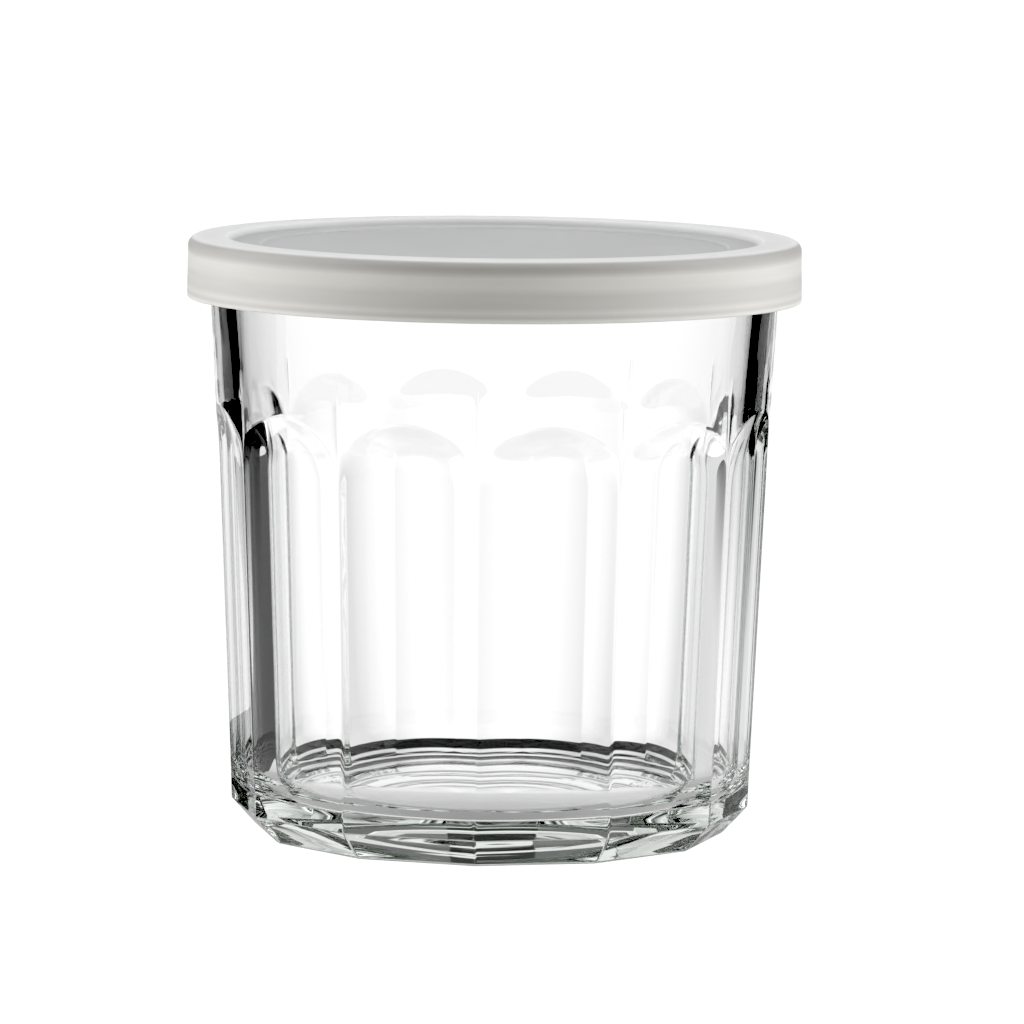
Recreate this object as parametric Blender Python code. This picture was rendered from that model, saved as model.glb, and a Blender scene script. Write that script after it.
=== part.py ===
"""A faceted storage jar of pressed glass with its press-fit plastic lid.

Frame: origin at the middle of the foot on the table, +Z up, one vertical edge of the panels
facing -Y. Lengths are written in millimetres and turned to metres by MM.
"""
import math

import bmesh
import bpy

MM = 0.001

# Jar body: twelve flat panels pressed into a tapering round wall
PANELS = 12
COLUMNS_PER_PANEL = 6
FOOT_TOP_Z = 4.9            # lower rim of the panels
FOOT_TOP_R = 41.85          # corner radius of that rim
PANEL_FOOT_Z = 64.1         # height where two neighbouring arches meet
ARCH_RISE = 5.8             # from there to the crown of an arch
LOWER_TAPER = 0.0428        # radius gained per millimetre of height, beside the panels
UPPER_TAPER = 0.0550        # the same in the plain round part above them
ARCH_POWER = 0.9            # roundness of the arch line: 1 is a parabola, less is fuller
SCOOP = 7.0                 # height over which a panel curves out into the round wall
SCOOP_SHARES = (0.0, 0.35, 0.6, 0.8, 1.0)

# Foot: a faceted chamfer, a rounded lower edge and a hollowed underside
CHAMFER_R = 39.3
CHAMFER_Z = 2.0
CONTACT_R = 37.2            # outer corner radius of the flat ring the jar stands on
CONTACT_INNER_R = 33.0
HOLLOW_DEPTH = 3.0
HOLLOW_SHARES = (0.35, 0.65, 0.85)
FOOT_STEPS = 3

# Mouth: a small bead round the rim, which the lid snaps over
NECK_Z = 87.6
BEAD_LOW_Z = 89.2
BEAD_R = 46.7
BEAD_EDGE = (0.3, 0.9)      # inset and height of the slope under the bead
ROUND_WALL_LOW = 2.5        # the plain round wall begins this far above the arches
RIM_TOP_Z = 93.7
LIP_ROUND = 1.5
LIP_STEPS = 6

# Inside: round, thicker at the arches than at the mouth, with a rounded floor corner
MOUTH_R = 42.3
INNER_HIGH = (83.0, 41.5)   # height and radius just below the mouth
INNER_ARCH = (68.0, 40.3)   # at the arches
INNER_LOW = (12.5, 38.0)    # where the corner of the floor begins
FLOOR_Z = 7.0
FLOOR_R = 32.4
FLOOR_STEPS = 5

# Lid: one moulding, a disc with a raised ring and a skirt
FIT_GAP = 0.3
LID_TOP_Z = 96.2
LID_BOTTOM_Z = 86.5
LID_R = 49.35
LID_DRAFT = 0.15            # the skirt is this much narrower at the top
SHOULDER = 1.5
SHOULDER_STEPS = 4
RING_INNER_R = 43.1         # the raised ring lies outside this radius
RING_SLOPE = ((-0.9, 0.0), (-0.3, 0.3), (0.0, 0.8), (0.5, 1.1))   # radius and height along its inner edge
DISC_DROP = 1.1             # the disc lies this much below the ring
STEP_R = 37.6
STEP_DROP = 0.3             # its middle lies a little lower still
STEP_WIDTH = 0.4
SKIRT_WALL = 1.5
RIM_CHAMFER = 0.2           # at the lower edge of the skirt
CORNER_CHAMFER = 0.8        # inside, between the skirt and the disc
SNAP_Z = 87.5               # height of the inner bead that grips the rim
SNAP_R = 46.05
SNAP_HALF_HEIGHT = 0.3
SNAP_REACH = 1.4            # from the bead's middle up to where the plain skirt begins
LID_SIDES = 72

GLASS = {"name": "clear pressed glass", "colour": (0.86, 0.93, 0.90, 1.0), "roughness": 0.03}
PLASTIC = {"name": "natural polyethylene", "colour": (0.80, 0.80, 0.79, 1.0), "roughness": 0.42}


def clear_scene():
    for item in list(bpy.data.objects):
        bpy.data.objects.remove(item, do_unlink=True)


def make_material(finish, see_through):
    material = bpy.data.materials.new(finish["name"])
    material.use_nodes = True
    shader = material.node_tree.nodes["Principled BSDF"]
    shader.inputs["Base Color"].default_value = finish["colour"]
    shader.inputs["Roughness"].default_value = finish["roughness"]
    shader.inputs["Metallic"].default_value = 0.0
    shader.inputs["Transmission Weight"].default_value = see_through
    return material


def add_object(name, mesh, material):
    obj = bpy.data.objects.new(name, mesh)
    bpy.context.scene.collection.objects.link(obj)
    mesh.materials.append(material)
    mesh.shade_smooth()
    mesh.set_sharp_from_angle(angle=math.radians(20))
    return obj


def straight_between(z, low, high):
    """Radius at height z on the line through two (height, radius) points."""
    share = (z - low[0]) / (high[0] - low[0])
    return low[1] + share * (high[1] - low[1])


def wall_radius(z):
    """Radius of the round wall, which is also the radius of the edges between panels."""
    lower = FOOT_TOP_R + LOWER_TAPER * (min(z, PANEL_FOOT_Z) - FOOT_TOP_Z)
    return lower + UPPER_TAPER * max(z - PANEL_FOOT_Z, 0.0)


def flat_radius(z, offset):
    """Radius on a flat panel at an angle offset from its middle."""
    straight = FOOT_TOP_R + LOWER_TAPER * (z - FOOT_TOP_Z)
    return straight * math.cos(math.pi / PANELS) / math.cos(offset)


def arch_height(offset):
    """Height where a panel runs out into the round wall."""
    share = max(1.0 - (offset * PANELS / math.pi) ** 2, 0.0)
    return PANEL_FOOT_Z + ARCH_RISE * share ** ARCH_POWER


def columns():
    """Angle of each column of points, and its angle from the middle of its panel."""
    pitch = 2.0 * math.pi / PANELS
    for number in range(PANELS * COLUMNS_PER_PANEL):
        step = number % COLUMNS_PER_PANEL
        angle = pitch * number / COLUMNS_PER_PANEL
        yield angle, pitch * (step / COLUMNS_PER_PANEL - 0.5)


def add_ring(bm, radius_at, height_at):
    """One closed ring of points; both arguments are functions of the angle from a panel's middle."""
    ring = []
    for angle, offset in columns():
        radius = radius_at(offset) * MM
        ring.append(bm.verts.new((radius * math.sin(angle), -radius * math.cos(angle),
                                  height_at(offset) * MM)))
    return ring


def round_ring(bm, radius, height):
    return add_ring(bm, lambda offset: radius, lambda offset: height)


def flat_sided_ring(bm, corner_radius, height):
    half = math.pi / PANELS
    return add_ring(bm, lambda offset: corner_radius * math.cos(half) / math.cos(offset),
                    lambda offset: height)


def join_rings(bm, rings):
    """Skin neighbouring rings with four-sided faces, facing outward on a wall that goes up."""
    for lower, upper in zip(rings, rings[1:]):
        count = len(lower)
        for number in range(count):
            after = (number + 1) % count
            bm.faces.new((lower[number], lower[after], upper[after], upper[number]))


def quarter_round(start, end, steps):
    """Points on a quarter ellipse from start to end, leaving start along the radius."""
    for number in range(1, steps):
        turn = math.pi / 2.0 * number / steps
        radius = start[0] + (end[0] - start[0]) * math.sin(turn)
        height = start[1] + (end[1] - start[1]) * (1.0 - math.cos(turn))
        yield radius, height


def underside_rings(bm):
    """From the middle of the hollow out to the flat ring that stands on the table."""
    rings = []
    for share in HOLLOW_SHARES:
        height = HOLLOW_DEPTH * (1.0 - share ** 2)
        rings.append(round_ring(bm, CONTACT_INNER_R * share, height))
    rings.append(round_ring(bm, CONTACT_INNER_R, 0.0))
    rings.append(flat_sided_ring(bm, CONTACT_R, 0.0))
    return rings


def foot_rings(bm):
    """The rounded lower edge and the chamfer, both with twelve sides."""
    rings = []
    for radius, height in quarter_round((CONTACT_R, 0.0), (CHAMFER_R, CHAMFER_Z), FOOT_STEPS):
        rings.append(flat_sided_ring(bm, radius, height))
    rings.append(flat_sided_ring(bm, CHAMFER_R, CHAMFER_Z))
    return rings


def panel_rings(bm):
    """Up the panels; the arch line is one ring, so that its edge stays sharp."""
    rings = [flat_sided_ring(bm, FOOT_TOP_R, FOOT_TOP_Z)]
    for share in SCOOP_SHARES:
        def height_at(offset, share=share):
            return arch_height(offset) - SCOOP * (1.0 - share)

        def radius_at(offset, share=share, height_at=height_at):
            flat = flat_radius(height_at(offset), offset)
            return flat + (wall_radius(height_at(offset)) - flat) * share ** 2

        rings.append(add_ring(bm, radius_at, height_at))
    return rings


def mouth_rings(bm):
    """The plain round wall, the bead and the rounded lip."""
    rings = []
    for height in (PANEL_FOOT_Z + ARCH_RISE + ROUND_WALL_LOW, NECK_Z):
        rings.append(round_ring(bm, wall_radius(height), height))
    inset, slope = BEAD_EDGE
    rings.append(round_ring(bm, BEAD_R - inset, BEAD_LOW_Z))
    rings.append(round_ring(bm, BEAD_R, BEAD_LOW_Z + slope))
    side = (BEAD_R - MOUTH_R) / 2.0
    middle = (BEAD_R + MOUTH_R) / 2.0
    for number in range(LIP_STEPS + 1):
        turn = math.pi * number / LIP_STEPS
        height = RIM_TOP_Z - LIP_ROUND * (1.0 - math.sin(turn))
        rings.append(round_ring(bm, middle + side * math.cos(turn), height))
    return rings


def inside_rings(bm):
    """Down the round inner wall and round the corner on to the floor."""
    rings = [round_ring(bm, radius, height) for height, radius in (INNER_HIGH, INNER_ARCH)]
    middle_z = (INNER_ARCH[0] + INNER_LOW[0]) / 2.0
    rings.append(round_ring(bm, straight_between(middle_z, INNER_LOW, INNER_ARCH), middle_z))
    rings.append(round_ring(bm, INNER_LOW[1], INNER_LOW[0]))
    corner = list(quarter_round((FLOOR_R, FLOOR_Z), (INNER_LOW[1], INNER_LOW[0]), FLOOR_STEPS))
    for radius, height in reversed(corner):
        rings.append(round_ring(bm, radius, height))
    rings.append(round_ring(bm, FLOOR_R, FLOOR_Z))
    rings.append(round_ring(bm, FLOOR_R * 0.5, FLOOR_Z))
    return rings


def make_jar(material):
    bm = bmesh.new()
    rings = underside_rings(bm) + foot_rings(bm) + panel_rings(bm) + mouth_rings(bm) + inside_rings(bm)
    join_rings(bm, rings)
    under_middle = bm.verts.new((0.0, 0.0, HOLLOW_DEPTH * MM))
    floor_middle = bm.verts.new((0.0, 0.0, FLOOR_Z * MM))
    for ring, middle in ((rings[0], under_middle), (rings[-1], floor_middle)):
        for number, vert in enumerate(ring):
            bm.faces.new((vert, ring[(number + 1) % len(ring)], middle))
    bmesh.ops.recalc_face_normals(bm, faces=bm.faces)
    mesh = bpy.data.meshes.new("jar")
    bm.to_mesh(mesh)
    bm.free()
    return add_object("jar", mesh, material)


def lid_profile():
    """Half section of the lid as (radius, height), from the middle of its top to its underside."""
    top_r = LID_R - LID_DRAFT
    disc_z = LID_TOP_Z - DISC_DROP
    middle_z = disc_z - STEP_DROP
    under_z = RIM_TOP_Z + FIT_GAP
    inner_r = LID_R - SKIRT_WALL
    points = [(0.0, middle_z), (STEP_R - STEP_WIDTH, middle_z), (STEP_R, disc_z)]
    points += [(RING_INNER_R + out, disc_z + up) for out, up in RING_SLOPE]
    for number in range(SHOULDER_STEPS + 1):
        turn = math.pi / 2.0 * number / SHOULDER_STEPS
        points.append((top_r - SHOULDER * (1.0 - math.sin(turn)),
                       LID_TOP_Z - SHOULDER * (1.0 - math.cos(turn))))
    points += [(LID_R, LID_BOTTOM_Z + RIM_CHAMFER), (LID_R - RIM_CHAMFER, LID_BOTTOM_Z)]
    points += [(inner_r, LID_BOTTOM_Z), (SNAP_R, SNAP_Z - SNAP_HALF_HEIGHT)]
    points += [(SNAP_R, SNAP_Z + SNAP_HALF_HEIGHT), (inner_r, SNAP_Z + SNAP_REACH)]
    points += [(inner_r, under_z - CORNER_CHAMFER), (inner_r - CORNER_CHAMFER, under_z)]
    points.append((0.0, under_z))
    return points


def make_lid(material):
    """The half section is turned about the Z axis by a Screw modifier."""
    points = [(radius * MM, 0.0, height * MM) for radius, height in lid_profile()]
    mesh = bpy.data.meshes.new("lid")
    mesh.from_pydata(points, [(n, n + 1) for n in range(len(points) - 1)], [])
    obj = add_object("lid", mesh, material)
    screw = obj.modifiers.new("turn", "SCREW")
    screw.axis = "Z"
    screw.angle = 2.0 * math.pi
    screw.steps = LID_SIDES
    screw.render_steps = LID_SIDES
    screw.use_merge_vertices = True
    screw.merge_threshold = 0.00001
    screw.use_smooth_shade = True
    return obj


def main():
    clear_scene()
    make_jar(make_material(GLASS, 1.0))
    make_lid(make_material(PLASTIC, 0.3))


main()
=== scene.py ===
# %% [markdown]
# # A faceted storage jar and its press-fit lid
#
# The jar is one piece of pressed soda-lime glass, the lid one moulding of polyethylene. Both
# stand in one frame with the solid model: metres, +Z up, the origin under the middle of the foot,
# and one upright edge between two panels facing -Y. This lesson sets up the view, gives the two
# pieces their fine surface, and then their finish and their light.

# %% Load the solid model
import math

import bpy
from mathutils import Matrix, Vector


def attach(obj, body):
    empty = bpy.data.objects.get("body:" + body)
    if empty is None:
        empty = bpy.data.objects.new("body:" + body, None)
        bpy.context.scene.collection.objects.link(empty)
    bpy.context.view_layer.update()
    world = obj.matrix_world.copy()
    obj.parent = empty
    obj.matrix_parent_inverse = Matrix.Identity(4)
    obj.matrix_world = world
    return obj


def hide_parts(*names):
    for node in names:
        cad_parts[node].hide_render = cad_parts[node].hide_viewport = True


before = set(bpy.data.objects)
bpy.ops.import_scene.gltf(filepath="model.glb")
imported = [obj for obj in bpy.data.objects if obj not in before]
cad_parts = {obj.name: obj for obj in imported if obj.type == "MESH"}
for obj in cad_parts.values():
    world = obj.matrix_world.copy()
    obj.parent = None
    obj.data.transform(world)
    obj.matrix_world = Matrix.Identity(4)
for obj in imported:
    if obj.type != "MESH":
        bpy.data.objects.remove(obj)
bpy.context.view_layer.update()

MM = 0.001
print("nodes of the solid model:", sorted(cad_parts))

# %% [markdown]
# ## Looking from a little above
#
# A long lens far away keeps the upright edges nearly parallel. The camera stands 1.18 m off and
# looks down by less than seven degrees. It is turned a few degrees past the upright edge in front.
# It leans by about half a degree and aims a little beside the middle, as a real tripod does.

# %% The camera
EYE_DISTANCE = 1182 * MM
EYE_TURN_DEGREES = 3.13
EYE_HEIGHT = math.radians(6.65)
EYE_LEAN = math.radians(0.62)
LENS = 257.7
MIDDLE = Vector((0.0, 0.0, 48 * MM))
AIM_RIGHT = 3.24 * MM
AIM_UP = 3.79 * MM
NEAREST_SEEN = 0.05      # metres
FURTHEST_SEEN = 20.0     # metres


def level_way(azimuth):
    """Unit vector in the table's plane: azimuth 0 is -Y, and it grows towards +X."""
    turn = math.radians(azimuth)
    return Vector((math.sin(turn), -math.cos(turn), 0.0))


to_eye = level_way(EYE_TURN_DEGREES) * math.cos(EYE_HEIGHT)
to_eye.z = math.sin(EYE_HEIGHT)
eye = bpy.data.objects.new("camera", bpy.data.cameras.new("camera"))
bpy.context.scene.collection.objects.link(eye)
eye.data.lens = LENS
eye.data.clip_start = NEAREST_SEEN
eye.data.clip_end = FURTHEST_SEEN
upright = to_eye.to_track_quat("Z", "Y").to_matrix()
leaning = upright @ Matrix.Rotation(EYE_LEAN, 3, "Z")
eye.location = MIDDLE + to_eye * EYE_DISTANCE
aim = MIDDLE + leaning.col[0] * AIM_RIGHT + leaning.col[1] * AIM_UP
turned = (eye.location - aim).to_track_quat("Z", "Y").to_matrix()
eye.rotation_euler = (turned @ Matrix.Rotation(EYE_LEAN, 3, "Z")).to_euler()
bpy.context.scene.camera = eye
print("camera at", [round(value, 3) for value in eye.location])

# %% [markdown]
# ## The glass wall as a formula
#
# The mould is a tapering round cavity with twelve flat panels let into it. Near its top each
# panel curves outward until it meets the round wall, and the line where it does is an arch. One
# could cut such panels with Boolean tools, but their edges come out knife sharp. A formula for
# the radius at every height and angle is exact, and it can round the edges too. It starts with
# the round wall and the line of an arch. Heights and radii are in millimetres.

# %% The round wall and the arches
PANELS = 12
HALF = math.pi / PANELS
FOOT_TOP_Z = 4.9
FOOT_TOP_R = 41.85
PANEL_FOOT_Z = 64.1      # where two neighbouring arches meet
ARCH_RISE = 5.8
ARCH_POWER = 0.9
LOWER_TAPER = 0.0428
UPPER_TAPER = 0.0550


def wall_radius(z):
    """Radius of the round wall, which is also that of the edges between panels."""
    lower = FOOT_TOP_R + LOWER_TAPER * (min(z, PANEL_FOOT_Z) - FOOT_TOP_Z)
    return lower + UPPER_TAPER * max(z - PANEL_FOOT_Z, 0.0)


def arch_height(offset):
    """Height of the arch line over a panel, at an angle offset from its middle."""
    share = max(1.0 - (offset / HALF) ** 2, 0.0)
    return PANEL_FOOT_Z + ARCH_RISE * share ** ARCH_POWER


print("crown of an arch at", round(arch_height(0.0), 2), "mm")

# %% [markdown]
# ## From one panel to the whole wall
#
# A flat panel is, seen over the angle, its distance from the axis divided by a cosine. In its last
# few millimetres below the arch it curves out to the round wall. Where two surfaces meet, the
# glass is the inner one of the two, and a soft minimum takes the place of the plain smaller one.
# That rounds the edge, as fire polishing does.

# %% The panelled wall
SCOOP = 7.0
EDGE_SOFTNESS = 0.17
ARCH_SOFTNESS = 0.2


def soft_min(first, second, softness):
    """The smaller of two numbers, rounded off where they are nearly equal."""
    near = max(softness - abs(first - second), 0.0)
    return min(first, second) - near * near / (4.0 * softness)


def one_panel(z, offset):
    """Radius on one panel, which curves out to the round wall just under the arch line."""
    straight = FOOT_TOP_R + LOWER_TAPER * (z - FOOT_TOP_Z)
    flat = straight * math.cos(HALF) / math.cos(offset)
    if abs(offset) >= HALF:
        return flat
    share = max(1.0 + (z - arch_height(offset)) / SCOOP, 0.0)
    return flat + (wall_radius(z) - flat) * share ** 2


def panelled(z, offset):
    """Radius on the panels, with the soft upright edge between one and the next."""
    beside = 2.0 * HALF - abs(offset)
    return soft_min(one_panel(z, offset), one_panel(z, beside), EDGE_SOFTNESS)


def outer_radius(z, offset):
    return soft_min(panelled(z, offset), wall_radius(z), ARCH_SOFTNESS)


print("radius above the foot, middle of a panel:", round(outer_radius(FOOT_TOP_Z, 0.0), 2), "mm")

# %% [markdown]
# ## Columns that crowd together at the edges
#
# A fine mesh doesn't need points everywhere. The panels are flat, and only the soft edges are
# curved, so each panel gets a few columns over its width and several close together at its sides.

# %% Columns round the jar
EDGE_STEPS = (0.0, 0.09, 0.18, 0.27, 0.36, 0.55, 1.0)     # millimetres from an upright edge
INNER_COLUMNS = 11


def column_angles():
    """(angle round the jar, angle from the middle of the panel) for every column."""
    half_width = FOOT_TOP_R * HALF
    side = [step / half_width for step in EDGE_STEPS]
    gap = (2.0 - 2.0 * side[-1]) / (INNER_COLUMNS + 1)
    middle = [side[-1] + gap * number for number in range(1, INNER_COLUMNS + 1)]
    shares = side + middle + [2.0 - share for share in reversed(side[1:])]
    found = []
    for panel in range(PANELS):
        for share in shares:
            found.append((2.0 * HALF * panel + HALF * share, HALF * (share - 1.0)))
    return found


COLUMNS = column_angles()
print("columns round the jar:", len(COLUMNS))

# %% [markdown]
# ## Rings of points
#
# The jar is skinned over rings, one above the other. A ring may be round, as at the mouth, or
# flat-sided, as at the foot, or it may rise and fall with the arches. All three come from one
# function that is given the radius and the height at every angle.

# %% One ring
def ring(radius_at, height_at):
    """Points of one ring, in metres. Both arguments are functions of the offset in a panel."""
    points = []
    for angle, offset in COLUMNS:
        radius = radius_at(offset) * MM
        height = height_at(offset) * MM
        points.append((radius * math.sin(angle), -radius * math.cos(angle), height))
    return points


def round_ring(radius, height):
    return ring(lambda offset: radius, lambda offset: height)


def flat_sided_ring(radius, height):
    """A ring with twelve flat sides and soft corners, radius being that of the corners."""
    def radius_at(offset):
        flat = radius * math.cos(HALF)
        here = flat / math.cos(offset)
        beside = flat / math.cos(2.0 * HALF - abs(offset))
        return soft_min(here, beside, EDGE_SOFTNESS)
    return ring(radius_at, lambda offset: height)


print("points in a ring:", len(round_ring(1.0, 0.0)))

# %% [markdown]
# ## Half sections with rounded corners
#
# The foot, the mouth, the inside and the whole lid are given by half a section. A section is
# drawn as a few corners, each with its radius, and one helper puts the arcs in. A bevel modifier
# could round the corners too, but here each corner has a radius of its own. Corners rounded like
# this catch a thin line of light, which a sharp edge never does.

# %% Rounding and spacing a section
def rounded(corners, steps):
    """Points of a line through (radius, height, rounding) corners, with an arc at each corner."""
    points = []
    last = len(corners) - 1
    for number, (radius, height, rounding) in enumerate(corners):
        here = Vector((radius, height))
        if number in (0, last) or rounding == 0.0:
            points.append(tuple(here))
            continue
        back = (Vector(corners[number - 1][:2]) - here).normalized()
        ahead = (Vector(corners[number + 1][:2]) - here).normalized()
        between = back.angle(ahead) / 2.0
        reach = rounding / math.tan(between)
        centre = here + (back + ahead).normalized() * (rounding / math.sin(between))
        start = here + back * reach - centre
        end = here + ahead * reach - centre
        turn = start.angle(end)
        for step in range(steps + 1):
            share = step / steps
            from_start = math.sin((1.0 - share) * turn) / math.sin(turn)
            from_end = math.sin(share * turn) / math.sin(turn)
            points.append(tuple(centre + start * from_start + end * from_end))
    return points


def spaced(points, gap):
    """The same line with extra points, so that none is further than gap from the next."""
    found = [points[0]]
    for first, second in zip(points, points[1:]):
        pieces = max(1, math.ceil(math.dist(first, second) / gap))
        for number in range(1, pieces + 1):
            share = number / pieces
            found.append(tuple(a + (b - a) * share for a, b in zip(first, second)))
    return found


print("a square corner of radius 1 in 4 steps:", len(rounded([(0, 0, 0), (5, 0, 1), (5, 5, 0)], 4)))

# %% [markdown]
# ## A closed skin
#
# Glass needs one closed skin: light has to enter it at one surface and leave it at another, and
# a gap or a doubled face shows as a black fleck. So the rings run in one unbroken order from the
# middle of the underside to the middle of the floor inside, and a fan closes each end.

# %% The skin over a stack of rings
def skin(name, rings, first_middle, last_middle):
    """A closed mesh over rings, closed at both ends by a point on the axis at that height."""
    count = len(rings[0])
    points = [point for one in rings for point in one]
    faces = []
    for row in range(len(rings) - 1):
        low = row * count
        high = low + count
        for column in range(count):
            after = (column + 1) % count
            faces.append((low + column, low + after, high + after, high + column))
    points += [(0.0, 0.0, first_middle * MM), (0.0, 0.0, last_middle * MM)]
    last_row = (len(rings) - 1) * count
    for column in range(count):
        after = (column + 1) % count
        faces.append((after, column, len(points) - 2))
        faces.append((last_row + column, last_row + after, len(points) - 1))
    mesh = bpy.data.meshes.new(name)
    mesh.from_pydata(points, [], faces)
    mesh.validate()
    mesh.shade_smooth()
    return mesh


def stand_in_for(name, mesh, node):
    """Put a mesh in the scene in the place of a node of the solid model."""
    piece = bpy.data.objects.new(name, mesh)
    bpy.context.scene.collection.objects.link(piece)
    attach(piece, "root")
    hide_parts(node)
    print(name, "has", len(mesh.polygons), "faces")


# %% [markdown]
# ## The foot
#
# A pressed jar stands on a narrow ring, with a shallow hollow inside it, so that it doesn't rock
# and the mark of the plunger is off the table. The hollow also bends light: it draws the long
# white lens shapes in the thick glass at the bottom. Outside the ring the foot goes up in a
# twelve-sided chamfer with a small round at its lower edge. Each corner below is a radius, a
# height and the radius of its round.

# %% Underside and foot
CONTACT_INNER_R = 33.0
HOLLOW_DEPTH = 3.0
HOLLOW_RINGS = 24
HOLLOW_ROUND = ((0.2, 0.02), (0.8, 0.0))
FOOT_CORNERS = ((35.0, 0.0, 0.0), (37.5, 0.0, 1.6), (39.4, 2.0, 0.4), (41.83, 4.65, 0.3),
                (41.94, 7.0, 0.0))
ARC_STEPS = 6
FOOT_GAP = 0.7


def underside():
    rings = []
    for number in range(1, HOLLOW_RINGS):
        share = number / HOLLOW_RINGS
        rings.append(round_ring(CONTACT_INNER_R * share, HOLLOW_DEPTH * (1.0 - share ** 2)))
    for outward, height in HOLLOW_ROUND:
        rings.append(round_ring(CONTACT_INNER_R + outward, height))
    return rings


def foot():
    line = spaced(rounded(FOOT_CORNERS, ARC_STEPS), FOOT_GAP)
    return [flat_sided_ring(radius, height) for radius, height in line]


print("rings in the underside and foot:", len(underside()), len(foot()))

# %% [markdown]
# ## The panels and their arches
#
# Where a sharp line runs through a smooth surface, the mesh should have points along that line.
# So the rings start level at the foot, bend gradually into the shape of the arches, pack closely
# where the panel meets the round wall, and are level again above.

# %% Panels
PANEL_START_Z = 7.9
RAMP_Z = PANEL_FOOT_Z - SCOOP - 0.5          # the rings start to bend here
CALM_Z = PANEL_FOOT_Z + ARCH_RISE + 3.0      # and are level again here
EDGE_BAND = 0.6
LEVEL_RINGS = 14
BENDING_RINGS = 16
ARCH_RINGS = 10
CALMING_RINGS = 6


def level_at(height):
    return lambda offset: height


def beside_arch(distance):
    return lambda offset: arch_height(offset) + distance


def wall_rings(low, high, count, first=1):
    """Rings from one line to another on the wall; both are functions of the offset."""
    rings = []
    for number in range(first, count + 1):
        share = number / count

        def height_at(offset, share=share):
            return low(offset) + share * (high(offset) - low(offset))

        rings.append(ring(lambda offset: outer_radius(height_at(offset), offset), height_at))
    return rings


def panels():
    rings = wall_rings(level_at(PANEL_START_Z), level_at(RAMP_Z), LEVEL_RINGS, first=0)
    rings += wall_rings(level_at(RAMP_Z), beside_arch(-EDGE_BAND), BENDING_RINGS)
    rings += wall_rings(beside_arch(-EDGE_BAND), beside_arch(EDGE_BAND), ARCH_RINGS)
    rings += wall_rings(beside_arch(EDGE_BAND), level_at(CALM_Z), CALMING_RINGS)
    return rings


print("rings in the panels:", len(panels()))

# %% [markdown]
# ## Mouth and inside
#
# The plunger that presses the glass is round and smooth, and opens out a little more near the
# mouth, so the inside has no panels. The wall is therefore thinner in the middle of a panel than
# at its edges, and it works as a row of weak lenses. The lip is fully rounded, and under it a
# small bead holds the lid.

# %% Mouth and inside
NECK_Z = 87.6
BEAD_LOW_Z = 89.2
BEAD_R = 46.7
RIM_TOP_Z = 93.7
MOUTH_R = 42.3
FLOOR_Z = 7.0
ROUND_FROM_Z = CALM_Z + 1.0
LIP_ROUND = 2.15
FAN_R = 0.5
MOUTH_CORNERS = ((wall_radius(ROUND_FROM_Z), ROUND_FROM_Z, 0.0), (wall_radius(NECK_Z), NECK_Z, 2.0),
                 (BEAD_R, BEAD_LOW_Z, 1.0), (BEAD_R, RIM_TOP_Z, LIP_ROUND),
                 (MOUTH_R, RIM_TOP_Z, LIP_ROUND), (41.5, 83.0, 30.0), (40.3, 68.0, 60.0),
                 (37.85, FLOOR_Z, 5.5), (FAN_R, FLOOR_Z, 0.0))
MOUTH_ARC_STEPS = 12
MOUTH_GAP = 3.0


def mouth_and_inside():
    line = spaced(rounded(MOUTH_CORNERS, MOUTH_ARC_STEPS), MOUTH_GAP)
    return [round_ring(radius, height) for radius, height in line]


jar_rings = underside() + foot() + panels() + mouth_and_inside()
jar_mesh = skin("glass_jar", jar_rings, HOLLOW_DEPTH, FLOOR_Z)
stand_in_for("glass_jar", jar_mesh, "jar")

# %% [markdown]
# ## The lid
#
# The lid is one thin moulding, the same all the way round, so it is a turned shape: a disc, a
# raised ring over the rim of the glass, a rounded shoulder and a skirt. A small bead inside the
# skirt grips the jar under its rim. A Screw modifier would turn the section too, but the same
# skin as for the jar keeps the mesh free of modifiers.

# %% The lid's section, turned about the axis
LID_TOP_Z = 96.2
LID_BOTTOM_Z = 86.5
UNDER_Z = 94.0
DISC_Z = 95.1
DISC_MIDDLE_Z = 94.8
SKIRT_INNER_R = 47.85
LID_CORNERS = ((FAN_R, DISC_MIDDLE_Z, 0.0), (37.3, DISC_MIDDLE_Z, 0.4), (37.6, DISC_Z, 0.4),
               (42.3, DISC_Z, 0.5), (43.2, LID_TOP_Z, 0.5), (49.2, LID_TOP_Z, 1.5),
               (49.35, LID_BOTTOM_Z, 0.25), (SKIRT_INNER_R, LID_BOTTOM_Z, 0.25),
               (46.05, 87.5, 0.3), (SKIRT_INNER_R, 88.8, 0.5), (SKIRT_INNER_R, UNDER_Z, 0.8),
               (FAN_R, UNDER_Z, 0.0))
LID_COLUMNS = 288
LID_GAP = 2.5


def turned_ring(radius, height):
    found = []
    for number in range(LID_COLUMNS):
        way = level_way(360.0 * number / LID_COLUMNS) * radius * MM
        found.append((way.x, way.y, height * MM))
    return found


lid_line = spaced(rounded(LID_CORNERS, ARC_STEPS), LID_GAP)
lid_rings = [turned_ring(radius, height) for radius, height in reversed(lid_line)]
lid_mesh = skin("press_fit_lid", lid_rings, UNDER_Z, DISC_MIDDLE_Z)
stand_in_for("press_fit_lid", lid_mesh, "lid")

# %% [markdown]
# ## Tools for finishes
#
# A colour picked on a screen is an sRGB number, but light adds up in linear numbers, so every
# hex colour goes through one conversion. Shader nodes are added by one small function that takes
# a node's settings, its fixed values, its links and, for a ramp, its stops. One could click the
# same nodes together in the shader editor. Written down, they can be read and measured.

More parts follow.
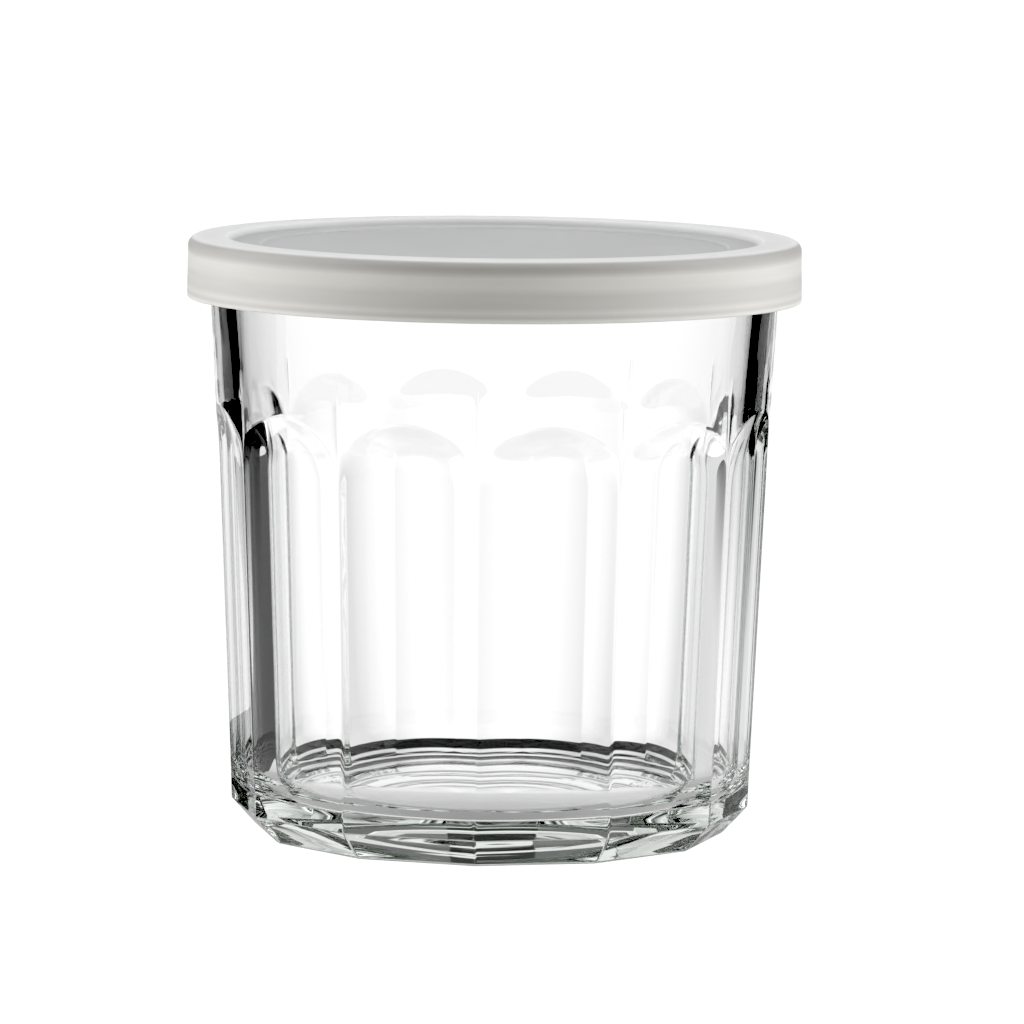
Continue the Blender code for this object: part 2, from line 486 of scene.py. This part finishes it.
# %% Colours and nodes
def linear(hex_colour):
    """An sRGB hex colour as the linear numbers that a shader works in."""
    found = []
    for start in (1, 3, 5):
        share = int(hex_colour[start:start + 2], 16) / 255.0
        found.append(share / 12.92 if share <= 0.04045 else ((share + 0.055) / 1.055) ** 2.4)
    return (*found, 1.0)


def add_node(tree, kind, settings=(), inputs=(), links=(), stops=()):
    """One node. A link comes from an output, or from a node whose one output is meant."""
    node = tree.nodes.new(kind)
    for name, value in dict(settings).items():
        setattr(node, name, value)
    for name, value in dict(inputs).items():
        node.inputs[name].default_value = value
    for name, source in dict(links).items():
        if isinstance(source, bpy.types.Node):
            source = next(output for output in source.outputs if output.enabled)
        tree.links.new(source, node.inputs[name])
    for number, (position, grey) in enumerate(stops):
        elements = node.color_ramp.elements
        element = elements[number] if number < len(elements) else elements.new(position)
        element.position = position
        element.color = (grey, grey, grey, 1.0)
    return node


def new_material(name):
    material = bpy.data.materials.new(name)
    material.use_nodes = True
    material.node_tree.nodes.clear()
    return material, material.node_tree


SMOOTH = {"interpolation_type": "SMOOTHSTEP"}
MIX = {"data_type": "RGBA", "blend_type": "MIX"}
MULTIPLY = {"data_type": "RGBA", "blend_type": "MULTIPLY"}
WHITE = linear("#FFFFFF")
print("middle grey in linear numbers:", [round(value, 3) for value in linear("#808080")])

# %% [markdown]
# ## Finish: pressed soda-lime glass
#
# Soda-lime glass has an IOR of about 1.52 and, fire-polished, no roughness at all. Its colour
# sits in its depth: a thin wall is clear, and only the thick foot shows the green of its iron, so
# the colour is an absorption in the volume and not a tint on the surface. What tells pressed glass
# from blown or ground glass is a faint ripple, where the hot glass chilled against the iron of the
# mould. It is about 15 mm from crest to crest and two hundredths of a millimetre high, and it
# makes every line seen through the wall waver a little.

# %% The glass
GLASS_IOR = 1.52
GREEN_OF_IRON = "#B4D8BE"
GREEN_DENSITY = 2.2
RIPPLE_WIDTH = 15.0
RIPPLE_HEIGHT = 0.02 * MM

pressed_glass, tree = new_material("pressed_soda_lime_glass")
place = add_node(tree, "ShaderNodeTexCoord")
ripple = add_node(tree, "ShaderNodeTexNoise",
                  inputs={"Scale": 1.0 / (RIPPLE_WIDTH * MM), "Detail": 1.0},
                  links={"Vector": place.outputs["Object"]})
ripple_relief = add_node(tree, "ShaderNodeBump", inputs={"Strength": 1.0, "Distance": RIPPLE_HEIGHT},
                         links={"Height": ripple.outputs["Fac"]})
glass = add_node(tree, "ShaderNodeBsdfPrincipled",
                 inputs={"Base Color": WHITE, "Roughness": 0.0, "IOR": GLASS_IOR,
                         "Transmission Weight": 1.0},
                 links={"Normal": ripple_relief})
depth = add_node(tree, "ShaderNodeVolumeAbsorption",
                 inputs={"Color": linear(GREEN_OF_IRON), "Density": GREEN_DENSITY})
add_node(tree, "ShaderNodeOutputMaterial", links={"Surface": glass, "Volume": depth})
jar_mesh.materials.append(pressed_glass)
print("glass, IOR", GLASS_IOR, "with a ripple every", RIPPLE_WIDTH, "mm")

# %% [markdown]
# ## Finish: natural polyethylene, painted light and shade where the lid is thick and thin
#
# Polyethylene without pigment is milky: light goes a millimetre or two into it and comes out
# again. A thin place looks greyer, because light gets through and is lost in the jar, and a
# place with more behind it looks whiter. The colour paints this in: on top the disc is painted
# grey as shade, and the raised ring over the rim of the glass is painted nearly white as light.
# The tone could be painted by hand on the mesh. Here it is chosen by distance from the axis and
# by height, so that it follows the shape exactly.

# %% Places on the lid, for its painted light and shade
RIM_FROM_R = 41.9
RIM_FULL_R = 43.6
DISC_END_R = 45.5
SKIRT_FROM_R = 46.5
SHOULDER_END_Z = 95.7
TOP_FROM_Z = 96.15

natural_plastic, tree = new_material("moulded_natural_polyethylene")
place = add_node(tree, "ShaderNodeTexCoord")
place_xyz = add_node(tree, "ShaderNodeSeparateXYZ", links={"Vector": place.outputs["Object"]})
on_plan = add_node(tree, "ShaderNodeCombineXYZ",
                   links={"X": place_xyz.outputs["X"], "Y": place_xyz.outputs["Y"]})
from_axis = add_node(tree, "ShaderNodeVectorMath", {"operation": "LENGTH"}, links={0: on_plan})
# Here the painted light of the ring takes over from the painted shade of the disc.
over_the_rim = add_node(tree, "ShaderNodeMapRange", SMOOTH,
                        {"From Min": RIM_FROM_R * MM, "From Max": RIM_FULL_R * MM},
                        {"Value": from_axis.outputs["Value"]})
inside_the_skirt = add_node(tree, "ShaderNodeMapRange",
                            inputs={"From Min": DISC_END_R * MM, "From Max": SKIRT_FROM_R * MM,
                                    "To Min": 1.0, "To Max": 0.0},
                            links={"Value": from_axis.outputs["Value"]})
above_the_shoulder = add_node(tree, "ShaderNodeMapRange", SMOOTH,
                              {"From Min": SHOULDER_END_Z * MM, "From Max": TOP_FROM_Z * MM},
                              {"Value": place_xyz.outputs["Z"]})
on_top = add_node(tree, "ShaderNodeMath", {"operation": "MAXIMUM"},
                  links={0: above_the_shoulder, 1: inside_the_skirt})
print("the lid is whitest from", RIM_FULL_R, "mm off the axis")

# %% [markdown]
# ## Finish: natural polyethylene, its painted light and shade in bands
#
# The skirt shows what lies behind it in level bands, painted into its colour: painted shade at
# the grip bead near its lower edge, at the bead of the glass and in the hollow under the shoulder,
# and a painted light along its lowest edge. A ramp over height holds these bands as shares of
# white, each at its height in millimetres, and the painted tones above are mixed with it.

# %% Painted light and shade on the lid
# The disc is painted grey as shade for light lost into the jar; the ring is painted white as light.
DISC_PAINTED_SHADE = "#C6C6C6"
RING_PAINTED_LIGHT = "#EDEDEC"
SKIRT_WHITE = "#F0EEE9"
# Painted light at the lowest edge and painted shade in bands above it, up to the shoulder.
SKIRT_PAINTED_BANDS = ((86.5, 1.0), (86.9, 0.98), (87.4, 0.78), (88.1, 0.9), (88.9, 0.8), (90.8, 0.8),
               (91.9, 0.89), (93.5, 0.89), (94.4, 0.68), (95.0, 0.6), (95.9, 0.58))
SKIRT_HEIGHT = LID_TOP_Z - LID_BOTTOM_Z

up_the_skirt = add_node(tree, "ShaderNodeMapRange",
                        inputs={"From Min": LID_BOTTOM_Z * MM, "From Max": LID_TOP_Z * MM},
                        links={"Value": place_xyz.outputs["Z"]})
band_stops = [((height - LID_BOTTOM_Z) / SKIRT_HEIGHT, share) for height, share in SKIRT_PAINTED_BANDS]
bands = add_node(tree, "ShaderNodeValToRGB", links={"Fac": up_the_skirt}, stops=band_stops)
skirt_colour_with_painted_bands = add_node(tree, "ShaderNodeMix", MULTIPLY, {"Factor": 1.0, "A": linear(SKIRT_WHITE)},
                      {"B": bands.outputs["Color"]})
top_painted_light_and_shade = add_node(tree, "ShaderNodeMix", MIX, {"A": linear(DISC_PAINTED_SHADE), "B": linear(RING_PAINTED_LIGHT)},
                    {"Factor": over_the_rim})
lid_colour_with_painted_light_and_shade = add_node(tree, "ShaderNodeMix", MIX,
                    links={"Factor": on_top, "A": skirt_colour_with_painted_bands, "B": top_painted_light_and_shade})
print("bands on the skirt:", len(SKIRT_PAINTED_BANDS))

# %% [markdown]
# ## Finish: natural polyethylene, its moulded surface
#
# Two things break up an even plastic. Where the melt ran round the skirt it leaves faint level
# streaks, a few per cent darker at most, which are noise squeezed flat. And the mould is
# spark-eroded to a satin, so the surface has a fine grain. Real grain is about 0.1 mm, too fine to
# show here, and it is drawn at 0.4 mm. It breaks the gloss through the roughness and a slight bump.
# The milky depth is Subsurface. A translucent shader would be quicker but has no softness.

# %% Streaks, grain and shader
PLASTIC_IOR = 1.51
MILKY_DEPTH = 1.5 * MM
STREAK_WIDTH = 22.0
STREAK_FLATTENED = 14.0
STREAK_ROUGHNESS = 0.45
STREAK_RANGE = (0.3, 0.7)
STREAK_DARKEST = 0.955
GRAIN_WIDTH = 0.4
GRAIN_ROUGHNESS = 0.6
GRAIN_HEIGHT = 0.06 * MM
GRAIN_STRENGTH = 0.25
SATIN_GLOSSIEST = 0.36
SATIN_DULLEST = 0.50

flattened = add_node(tree, "ShaderNodeMapping", inputs={"Scale": (1.0, 1.0, STREAK_FLATTENED)},
                     links={"Vector": place.outputs["Object"]})
flow = add_node(tree, "ShaderNodeTexNoise",
                inputs={"Scale": 1.0 / (STREAK_WIDTH * MM), "Detail": 2.0,
                        "Roughness": STREAK_ROUGHNESS},
                links={"Vector": flattened})
lowest, highest = STREAK_RANGE
streaks = add_node(tree, "ShaderNodeMapRange",
                   inputs={"From Min": lowest, "From Max": highest,
                           "To Min": STREAK_DARKEST, "To Max": 1.0},
                   links={"Value": flow.outputs["Fac"]})
streaked = add_node(tree, "ShaderNodeMix", MULTIPLY, {"Factor": 1.0}, {"A": lid_colour_with_painted_light_and_shade, "B": streaks})
grain = add_node(tree, "ShaderNodeTexNoise",
                 inputs={"Scale": 1.0 / (GRAIN_WIDTH * MM), "Detail": 2.0,
                         "Roughness": GRAIN_ROUGHNESS},
                 links={"Vector": place.outputs["Object"]})
satin = add_node(tree, "ShaderNodeMapRange",
                 inputs={"To Min": SATIN_GLOSSIEST, "To Max": SATIN_DULLEST},
                 links={"Value": grain.outputs["Fac"]})
grain_relief = add_node(tree, "ShaderNodeBump",
                        inputs={"Strength": GRAIN_STRENGTH, "Distance": GRAIN_HEIGHT},
                        links={"Height": grain.outputs["Fac"]})
plastic = add_node(tree, "ShaderNodeBsdfPrincipled",
                   inputs={"IOR": PLASTIC_IOR, "Subsurface Weight": 1.0,
                           "Subsurface Radius": (1.0, 1.0, 1.0), "Subsurface Scale": MILKY_DEPTH},
                   links={"Base Color": streaked, "Roughness": satin, "Normal": grain_relief})
add_node(tree, "ShaderNodeOutputMaterial", links={"Surface": plastic})
lid_mesh.materials.append(natural_plastic)
print("polyethylene with a grain of", GRAIN_WIDTH, "mm and streaks of", STREAK_WIDTH, "mm")

# %% [markdown]
# ## Directions in the studio
#
# Glass has no shade of its own. It shows its surroundings, bent, so the studio has to be drawn
# for it: bright behind, so that the wall looks clear, and dark at chosen angles, so that its edges
# get their black lines. The table and the room are toned by one measure, the angle between a
# direction and straight behind the jar, as seen from above. A sight line that only passes through
# the foot, or along one wall, crosses two surfaces of the glass. One that goes right through the
# jar crosses four. Counting them lets the wall stay clear while its edges and the foot are drawn.

# %% The angle off straight behind, and the count of surfaces
ONE_WALL = 3.5
THROUGH_JAR = {"operation": "GREATER_THAN"}
BEHIND = 180.0 + EYE_TURN_DEGREES


def angle_off_back(tree, vector):
    """Half turns between a direction and straight behind the jar, from 0 to 1, and its Z."""
    to_back = add_node(tree, "ShaderNodeVectorRotate", {"rotation_type": "Z_AXIS"},
                       {"Angle": -math.radians(EYE_TURN_DEGREES)}, {"Vector": vector})
    way_xyz = add_node(tree, "ShaderNodeSeparateXYZ", links={"Vector": to_back})
    sideways = add_node(tree, "ShaderNodeMath", {"operation": "ABSOLUTE"},
                        links={0: way_xyz.outputs["X"]})
    angle = add_node(tree, "ShaderNodeMath", {"operation": "ARCTAN2"},
                     links={0: sideways, 1: way_xyz.outputs["Y"]})
    half_turns = add_node(tree, "ShaderNodeMath", {"operation": "DIVIDE"}, {1: math.pi}, {0: angle})
    return half_turns, way_xyz.outputs["Z"]


def by_degrees(stops):
    """Stops over degrees off straight behind as stops over half turns."""
    return [(degrees / 180.0, grey) for degrees, grey in stops]


print("straight behind is azimuth", BEHIND)

# %% [markdown]
# ## The table
#
# The jar stands on a sheet of white acrylic that is lit from below, which gives no shadow and
# runs into the backdrop without a line. Seen straight it is simply white. What the glass sees of
# it is a little darker to the sides. The foot also sees a faint painted shade close round the jar.
# Sight lines right through the jar meet black rings round the foot instead: they are painted
# shadow of the jar on the table, and the trick for the dark lines at the far edge of the floor,
# which show how thick the floor is. A big area lamp under a diffuse sheet would do the same with
# much more noise. The sheet lies a hair below the foot, so that the two faces don't coincide.
# First come the tones: those over an angle are pairs of degrees and grey, those over a distance
# are pairs of millimetres and grey.

# %% The lit table and its tones
TABLE_REACH = 6.0        # metres
TABLE_DROP = 0.05 * MM
TABLE_WHITE = "#FBFBFB"
TABLE_GLOW = 1.1
SIDE_TONES = ((0, 1.0), (5, 1.0), (14, 0.9), (26, 0.72), (90, 0.66), (180, 0.5))
THROUGH_TONES = ((0, 1.0), (5, 1.0), (14, 0.9), (26, 0.72), (50, 0.75), (80, 0.8), (110, 0.6),
                 (180, 0.55))
RING_SPAN = 120.0
# Painted shade of the jar on the glowing table, darkest close round the foot.
NEAR_PAINTED_SHADE = ((30.0, 0.66), (65.0, 0.72), (85.0, 1.0))
# Painted shadow rings round the foot, for sight lines right through the jar.
PAINTED_SHADOW_RINGS = ((39.5, 0.9), (40.5, 0.01), (46.0, 0.01), (46.7, 0.9), (49.3, 0.9), (50.0, 0.01),
              (61.5, 0.01), (62.5, 1.0))


def flat_sheet(name, corners, material):
    """A sheet with four corners that belongs to the studio and not to the part."""
    mesh = bpy.data.meshes.new(name)
    mesh.from_pydata(corners, [], [(0, 1, 2, 3)])
    mesh.materials.append(material)
    sheet = bpy.data.objects.new(name, mesh)
    bpy.context.scene.collection.objects.link(sheet)
    return sheet


lit_acrylic, tree = new_material("lit_white_acrylic")
table_corners = [(-TABLE_REACH, -TABLE_REACH, 0.0), (TABLE_REACH, -TABLE_REACH, 0.0),
                 (TABLE_REACH, TABLE_REACH, 0.0), (-TABLE_REACH, TABLE_REACH, 0.0)]
light_table = flat_sheet("light_table", table_corners, lit_acrylic)
light_table.location.z = -TABLE_DROP
place = add_node(tree, "ShaderNodeTexCoord")
path = add_node(tree, "ShaderNodeLightPath")
angle, _ = angle_off_back(tree, place.outputs["Object"])
side_tone = add_node(tree, "ShaderNodeValToRGB", links={"Fac": angle}, stops=by_degrees(SIDE_TONES))
through_tone = add_node(tree, "ShaderNodeValToRGB", links={"Fac": angle},
                        stops=by_degrees(THROUGH_TONES))
distance = add_node(tree, "ShaderNodeVectorMath", {"operation": "LENGTH"},
                    links={0: place.outputs["Object"]})
ring_share = add_node(tree, "ShaderNodeMath", {"operation": "DIVIDE"}, {1: RING_SPAN * MM},
                      {0: distance.outputs["Value"]})
painted_near_shade = add_node(tree, "ShaderNodeValToRGB", links={"Fac": ring_share},
                     stops=[(radius / RING_SPAN, grey) for radius, grey in NEAR_PAINTED_SHADE])
shaded = add_node(tree, "ShaderNodeMix", MULTIPLY, {"Factor": 1.0},
                  {"A": side_tone.outputs["Color"], "B": painted_near_shade.outputs["Color"]})
painted_shadow_ring_tone = add_node(tree, "ShaderNodeValToRGB", links={"Fac": ring_share},
                     stops=[(radius / RING_SPAN, grey) for radius, grey in PAINTED_SHADOW_RINGS])
print("table rings from", PAINTED_SHADOW_RINGS[1][0], "to", PAINTED_SHADOW_RINGS[-2][0], "mm")

# %% [markdown]
# ## The table, put together
#
# Two versions of the table are made, one with the painted shade and one with the painted shadow
# rings, and the number of surfaces that a sight line has crossed picks one of them. The camera
# itself sees neither, but plain white. The sheet only glows. It has no matt part, which would be
# slow to light evenly.

# %% The table's light
# The through tone with the painted shadow rings laid on it.
through_tone_with_painted_rings = add_node(tree, "ShaderNodeMix", MULTIPLY, {"Factor": 1.0},
                  {"A": through_tone.outputs["Color"], "B": painted_shadow_ring_tone.outputs["Color"]})
through_jar = add_node(tree, "ShaderNodeMath", THROUGH_JAR, {1: ONE_WALL},
                       {0: path.outputs["Transmission Depth"]})
table_tone = add_node(tree, "ShaderNodeMix", MIX,
                      links={"Factor": through_jar, "A": shaded, "B": through_tone_with_painted_rings})
for_glass = add_node(tree, "ShaderNodeEmission", inputs={"Strength": TABLE_GLOW},
                     links={"Color": table_tone})
straight = add_node(tree, "ShaderNodeEmission",
                    inputs={"Color": linear(TABLE_WHITE), "Strength": TABLE_GLOW})
table_light = add_node(tree, "ShaderNodeMixShader",
                       links={0: path.outputs["Is Camera Ray"], 1: for_glass, 2: straight})
add_node(tree, "ShaderNodeOutputMaterial", links={"Surface": table_light})
print("the table glows with strength", TABLE_GLOW)

# %% [markdown]
# ## Black cards
#
# Whoever lights glass stands strips of black card just out of view, and the outermost few
# millimetres of the wall bend the sight line onto them and turn black. Two black cards stand edge
# on to the jar. They fade out towards their lower edge, so that the foot stays bright. A dark grey
# one lies on the table at one side, for the broad dark strip down the panel there. Only glass and
# gloss see them, along one wall: they are absent for the camera, for matt surfaces, for shadows,
# and for sight lines that go right through the jar.

# %% What a card is made of
def card_material(name, grey, faint_below, whole_above):
    """Card that only sight lines along one wall meet, and that fades out between two heights."""
    material, tree = new_material(name)
    flock = add_node(tree, "ShaderNodeEmission", inputs={"Color": linear(grey)})
    absent = add_node(tree, "ShaderNodeBsdfTransparent")
    place = add_node(tree, "ShaderNodeTexCoord")
    place_xyz = add_node(tree, "ShaderNodeSeparateXYZ", links={"Vector": place.outputs["Object"]})
    faint = add_node(tree, "ShaderNodeMapRange", SMOOTH,
                     {"From Min": faint_below * MM, "From Max": whole_above * MM,
                      "To Min": 1.0, "To Max": 0.0}, {"Value": place_xyz.outputs["Z"]})
    path = add_node(tree, "ShaderNodeLightPath")
    through_jar = add_node(tree, "ShaderNodeMath", THROUGH_JAR, {1: ONE_WALL},
                           {0: path.outputs["Transmission Depth"]})
    how_absent = add_node(tree, "ShaderNodeMath", {"operation": "MAXIMUM"},
                          links={0: through_jar, 1: faint})
    shown = add_node(tree, "ShaderNodeMixShader", links={0: how_absent, 1: flock, 2: absent})
    add_node(tree, "ShaderNodeOutputMaterial", links={"Surface": shown})
    return material


print("a card is absent for a sight line across more than", ONE_WALL, "surfaces")

# %% [markdown]
# ## Where the cards stand
#
# The cards are placed by their angle off straight behind the jar, as seen from above. Each
# standing one runs along a line through the jar's axis, which is what edge on means here. The
# lying one is at table height and whole, so it fades out only below the table.

# %% The cards in place
CARD_ANGLE = 67.5
CARD_NEAR = 59.0
CARD_FAR = 200.0
CARD_LOW = 15.0
CARD_WHOLE = 65.0
CARD_HIGH = 220.0
CARD_BLACK = "#000000"
LYING_GREY = "#555555"
LYING_SIDES = (38.0, 84.0)
LYING_REACH = (50.0, 1500.0)
BELOW_TABLE = -1.0


def card(name, corners, material):
    """A sheet that only glass and gloss can see."""
    sheet = flat_sheet(name, corners, material)
    sheet.visible_camera = False
    sheet.visible_diffuse = False
    sheet.visible_shadow = False


def beside_back(angle, radius, height=0.0):
    """A point at an angle off straight behind the jar, in millimetres from the foot's middle."""
    point = level_way(BEHIND + angle) * radius * MM
    point.z = height * MM
    return point


black_card = card_material("black_flocked_card", CARD_BLACK, CARD_LOW, CARD_WHOLE)
for name, angle in (("standing_card_right", -CARD_ANGLE), ("standing_card_left", CARD_ANGLE)):
    card(name, [beside_back(angle, CARD_NEAR, CARD_LOW), beside_back(angle, CARD_FAR, CARD_LOW),
                beside_back(angle, CARD_FAR, CARD_HIGH), beside_back(angle, CARD_NEAR, CARD_HIGH)],
         black_card)
near_side, far_side = LYING_SIDES
near, far = LYING_REACH
card("lying_card", [beside_back(near_side, near), beside_back(far_side, near),
                    beside_back(far_side, far), beside_back(near_side, far)],
     card_material("dark_grey_card", LYING_GREY, BELOW_TABLE, 0.0))
print("cards stand", CARD_ANGLE, "degrees off straight behind")

# %% [markdown]
# ## Side lamps
#
# The lid is matt, so it wants real light. Two soft lamps hang a little higher than it, a metre off
# on each side and half a metre across. They leave the front of the skirt a little darker than its
# sides, which is what makes it look round. They are hidden from the glass, which would mirror them
# as squares.

# %% The lamps
LAMP_ANGLE = 87.0
LAMP_AWAY = 1.0          # metres
LAMP_HEIGHT = 0.35       # metres
LAMP_ACROSS = 0.5        # metres
LAMP_POWER = 3.4         # watts
LAMP_TINT = "#F8FBFF"


def side_lamp(name, azimuth):
    lamp = bpy.data.objects.new(name, bpy.data.lights.new(name, "AREA"))
    bpy.context.scene.collection.objects.link(lamp)
    lamp.data.size = LAMP_ACROSS
    lamp.data.energy = LAMP_POWER
    lamp.data.color = linear(LAMP_TINT)[:3]
    lamp.location = level_way(azimuth) * LAMP_AWAY + Vector((0.0, 0.0, LAMP_HEIGHT))
    to_lid = lamp.location - Vector((0.0, 0.0, LID_TOP_Z * MM))
    lamp.rotation_euler = to_lid.to_track_quat("Z", "Y").to_euler()
    lamp.visible_glossy = False
    lamp.visible_transmission = False
    lamp.visible_camera = False


side_lamp("left_lamp", -LAMP_ANGLE)
side_lamp("right_lamp", LAMP_ANGLE)
print("lamps", LAMP_POWER, "watts each")

# %% [markdown]
# ## The room
#
# Seen straight, or right through the jar, the room is white. What the lid, the foot and the edges
# of the wall see of it has a shape. Behind, it is white at the height of the table, with one dark
# level stripe just above: the chamfer of the foot picks that up as a dark band. Higher up it
# fades. To the sides, past a dimmer gap, two broad bright panels light the wall and the lid. In
# front it is dim, and overhead there is a soft light. Real panels would do this as mesh lights.
# Painted into the world, they cost nothing and have no noise.

# %% The room's light
ROOM_STRENGTH = 2.0
AROUND_TONES = ((0, 0.5), (4, 0.5), (36, 0.52), (42, 0.25), (55, 0.25), (66, 0.9), (118, 0.9),
                (132, 0.12), (180, 0.1))
BACK_REACH = ((0, 1.0), (45, 1.0), (60, 0.0))
BACK_HEIGHTS = ((0, 1.0), (4, 0.97), (12, 0.88), (19, 0.7), (24, 0.06))
STRIPE_REACH = ((0, 1.0), (7, 1.0), (9, 0.85), (26, 0.8), (34, 0.0))
STRIPE_HEIGHTS = ((0, 1.0), (6.6, 1.0), (7.2, 0.08), (13.2, 0.08), (13.8, 1.0))
OVERHEAD_FROM = 30.0
OVERHEAD_FULL = 53.0
OVERHEAD_GREY = "#B3B3B3"


def by_rise(stops):
    """Stops over degrees above level as stops over the Z of a direction."""
    return [(math.sin(math.radians(degrees)), grey) for degrees, grey in stops]


room = bpy.data.worlds.new("studio")
room.use_nodes = True
tree = room.node_tree
tree.nodes.clear()
way = add_node(tree, "ShaderNodeTexCoord")
path = add_node(tree, "ShaderNodeLightPath")
angle, height = angle_off_back(tree, way.outputs["Generated"])
around = add_node(tree, "ShaderNodeValToRGB", links={"Fac": angle}, stops=by_degrees(AROUND_TONES))
behind = add_node(tree, "ShaderNodeValToRGB", links={"Fac": angle}, stops=by_degrees(BACK_REACH))
up_the_back = add_node(tree, "ShaderNodeValToRGB", links={"Fac": height}, stops=by_rise(BACK_HEIGHTS))
fading = add_node(tree, "ShaderNodeMix", MIX, {"A": WHITE},
                  {"Factor": behind.outputs["Color"], "B": up_the_back.outputs["Color"]})
walls = add_node(tree, "ShaderNodeMix", MULTIPLY, {"Factor": 1.0},
                 {"A": around.outputs["Color"], "B": fading})
print("room tones:", len(AROUND_TONES), "round about,", len(BACK_HEIGHTS), "up the back")

# %% [markdown]
# ## The stripe, the light overhead, and who sees what
#
# The stripe is laid over the walls only near straight behind. The light overhead comes in above
# them. The last mix gives the toned room to some sight lines and plain white to the others.

# %% The room put together
stripe_reach = add_node(tree, "ShaderNodeValToRGB", links={"Fac": angle},
                        stops=by_degrees(STRIPE_REACH))
up_the_stripe = add_node(tree, "ShaderNodeValToRGB", links={"Fac": height},
                         stops=by_rise(STRIPE_HEIGHTS))
stripe = add_node(tree, "ShaderNodeMix", MIX, {"A": WHITE},
                  {"Factor": stripe_reach.outputs["Color"], "B": up_the_stripe.outputs["Color"]})
striped = add_node(tree, "ShaderNodeMix", MULTIPLY, {"Factor": 1.0}, {"A": walls, "B": stripe})
overhead = add_node(tree, "ShaderNodeMapRange", SMOOTH,
                    {"From Min": math.sin(math.radians(OVERHEAD_FROM)),
                     "From Max": math.sin(math.radians(OVERHEAD_FULL))}, {"Value": height})
whole_room = add_node(tree, "ShaderNodeMix", MIX, {"B": linear(OVERHEAD_GREY)},
                      {"Factor": overhead, "A": striped})
toned = add_node(tree, "ShaderNodeBackground", inputs={"Strength": ROOM_STRENGTH},
                 links={"Color": whole_room})
plain = add_node(tree, "ShaderNodeBackground", inputs={"Color": WHITE})
through_jar = add_node(tree, "ShaderNodeMath", THROUGH_JAR, {1: ONE_WALL},
                       {0: path.outputs["Transmission Depth"]})
sees_plain = add_node(tree, "ShaderNodeMath", {"operation": "MAXIMUM"},
                      links={0: path.outputs["Is Camera Ray"], 1: through_jar})
room_light = add_node(tree, "ShaderNodeMixShader", links={0: sees_plain, 1: toned, 2: plain})
add_node(tree, "ShaderNodeOutputWorld", links={"Surface": room_light})
bpy.context.scene.world = room
print("stripe from", STRIPE_HEIGHTS[2][0], "to", STRIPE_HEIGHTS[3][0], "degrees above level")

# %% [markdown]
# ## Light paths and tone
#
# A sight line through the jar crosses four surfaces and may bounce inside the wall many times, so
# it is allowed 32 steps: with fewer, the foot goes black. A plain transform keeps white paper
# white, and a slightly raised black point gives the dark lines the depth that a print has.

# %% Paths and tone
PATH_STEPS = 32
GLOSS_STEPS = 16
BLACK_POINT = 0.07

scene = bpy.context.scene
scene.cycles.max_bounces = PATH_STEPS
scene.cycles.transmission_bounces = PATH_STEPS
scene.cycles.glossy_bounces = GLOSS_STEPS
scene.cycles.use_denoising = True
scene.view_settings.view_transform = "Standard"
scene.view_settings.use_curve_mapping = True
scene.view_settings.curve_mapping.black_level = (BLACK_POINT, BLACK_POINT, BLACK_POINT)
print("steps of light:", PATH_STEPS)
